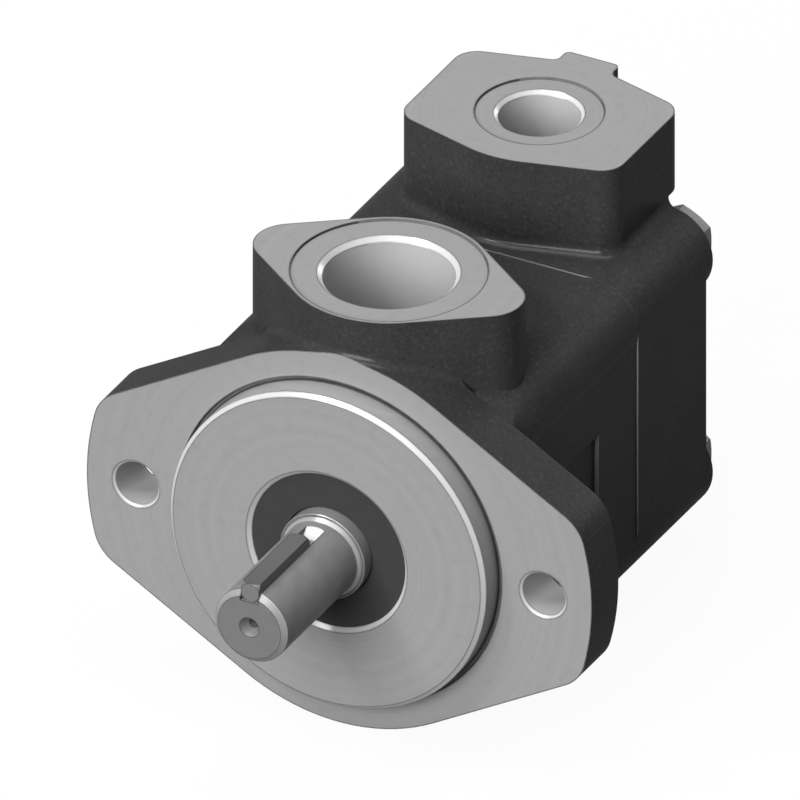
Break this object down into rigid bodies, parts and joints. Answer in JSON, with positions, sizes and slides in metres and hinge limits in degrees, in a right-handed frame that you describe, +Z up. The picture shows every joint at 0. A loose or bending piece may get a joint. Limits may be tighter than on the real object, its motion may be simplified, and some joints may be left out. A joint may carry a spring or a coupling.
{
  "type": "hydraulic vane pump",
  "caption": "Hydraulic vane pump with a two-ear mounting flange, keyed shaft end, pilot, and threaded inlet and outlet on top.",
  "frame": {"origin": "centre of the mounting flange's front face, on the shaft axis", "axes": "-Y out along the keyed shaft end, +Y into the pump, +Z up towards both ports, +X towards the right-hand mounting hole seen from behind the pump's ports with the shaft pointing away from +Y"},
  "size_m": [0.132, 0.1703, 0.1122],
  "materials": {
    "cast_iron": "as-cast iron, blackened; flange, pilot and port faces machined bright",
    "seal_rubber": "moulded nitrile rubber, satin",
    "pressed_steel": "pressed sheet steel",
    "spring_steel": "drawn spring steel, oiled",
    "bearing_steel": "ground and lapped",
    "bushing_bronze": "bored bronze",
    "hardened_steel": "hardened and ground",
    "plate_iron": "machined all over, lapped face",
    "bolt_steel": "forged heads, lightly oiled",
    "shaft_steel": "turned and ground",
    "key_steel": "cold-drawn bar"
  },
  "bodies": {
    "housing": {"front_body": "cast_iron", "rear_cover": "cast_iron", "shaft_seal": "seal_rubber", "shaft_seal_case": "pressed_steel", "seal_garter_spring": "spring_steel", "bearing_outer_race": "bearing_steel", "bearing_retaining_ring": "spring_steel", "shaft_bushing": "bushing_bronze", "cam_ring": "hardened_steel", "pressure_plate": "plate_iron", "pressure_plate_seal": "seal_rubber", "pressure_plate_spring": "spring_steel", "cover_seal": "seal_rubber", "locating_pins": "hardened_steel", "cover_bolts": "bolt_steel"},
    "shaft": {"drive_shaft": "shaft_steel", "shaft_key": "key_steel", "bearing_inner_race": "bearing_steel", "shaft_retaining_ring": "spring_steel", "rotor": "hardened_steel"},
    "bearing_cage_and_balls": {"bearing_balls": "bearing_steel", "bearing_cage": "pressed_steel"},
    "vane_01": {"vane_01": "hardened_steel"},
    "vane_02": {"vane_02": "hardened_steel"},
    "vane_03": {"vane_03": "hardened_steel"},
    "vane_04": {"vane_04": "hardened_steel"},
    "vane_05": {"vane_05": "hardened_steel"},
    "vane_06": {"vane_06": "hardened_steel"},
    "vane_07": {"vane_07": "hardened_steel"},
    "vane_08": {"vane_08": "hardened_steel"},
    "vane_09": {"vane_09": "hardened_steel"},
    "vane_10": {"vane_10": "hardened_steel"},
    "vane_11": {"vane_11": "hardened_steel"},
    "vane_12": {"vane_12": "hardened_steel"}
  },
  "joints": [
    {"name": "shaft_spin", "type": "hinge", "parent": "housing", "child": "shaft", "pos_m": [0, 0, 0], "axis": [0, 1, 0], "continuous": true},
    {"name": "cage_orbit", "type": "hinge", "parent": "housing", "child": "bearing_cage_and_balls", "pos_m": [0, 0.0106, 0], "axis": [0, 1, 0], "continuous": true},
    {"name": "vane_01_slide", "type": "slide", "parent": "shaft", "child": "vane_01", "axis": [0.9659, 0, 0.2588], "range_m": [-0.0003, 0.00023]},
    {"name": "vane_02_slide", "type": "slide", "parent": "shaft", "child": "vane_02", "axis": [0.7071, 0, 0.7071], "range_m": [-0.0003, 0.0013]},
    {"name": "vane_03_slide", "type": "slide", "parent": "shaft", "child": "vane_03", "axis": [0.2588, 0, 0.9659], "range_m": [-0.0003, 0.00242]},
    {"name": "vane_04_slide", "type": "slide", "parent": "shaft", "child": "vane_04", "axis": [-0.2588, 0, 0.9659], "range_m": [-0.0003, 0.00242]},
    {"name": "vane_05_slide", "type": "slide", "parent": "shaft", "child": "vane_05", "axis": [-0.7071, 0, 0.7071], "range_m": [-0.0003, 0.0013]},
    {"name": "vane_06_slide", "type": "slide", "parent": "shaft", "child": "vane_06", "axis": [-0.9659, 0, 0.2588], "range_m": [-0.0003, 0.00023]},
    {"name": "vane_07_slide", "type": "slide", "parent": "shaft", "child": "vane_07", "axis": [-0.9659, 0, -0.2588], "range_m": [-0.0003, 0.00023]},
    {"name": "vane_08_slide", "type": "slide", "parent": "shaft", "child": "vane_08", "axis": [-0.7071, 0, -0.7071], "range_m": [-0.0003, 0.0013]},
    {"name": "vane_09_slide", "type": "slide", "parent": "shaft", "child": "vane_09", "axis": [-0.2588, 0, -0.9659], "range_m": [-0.0003, 0.00242]},
    {"name": "vane_10_slide", "type": "slide", "parent": "shaft", "child": "vane_10", "axis": [0.2588, 0, -0.9659], "range_m": [-0.0003, 0.00242]},
    {"name": "vane_11_slide", "type": "slide", "parent": "shaft", "child": "vane_11", "axis": [0.7071, 0, -0.7071], "range_m": [-0.0003, 0.0013]},
    {"name": "vane_12_slide", "type": "slide", "parent": "shaft", "child": "vane_12", "axis": [0.9659, 0, -0.2588], "range_m": [-0.0003, 0.00023]}
  ],
  "couplings": [
    {"joint": "cage_orbit", "follows": "shaft_spin", "ratio": 0.38246}
  ]
}
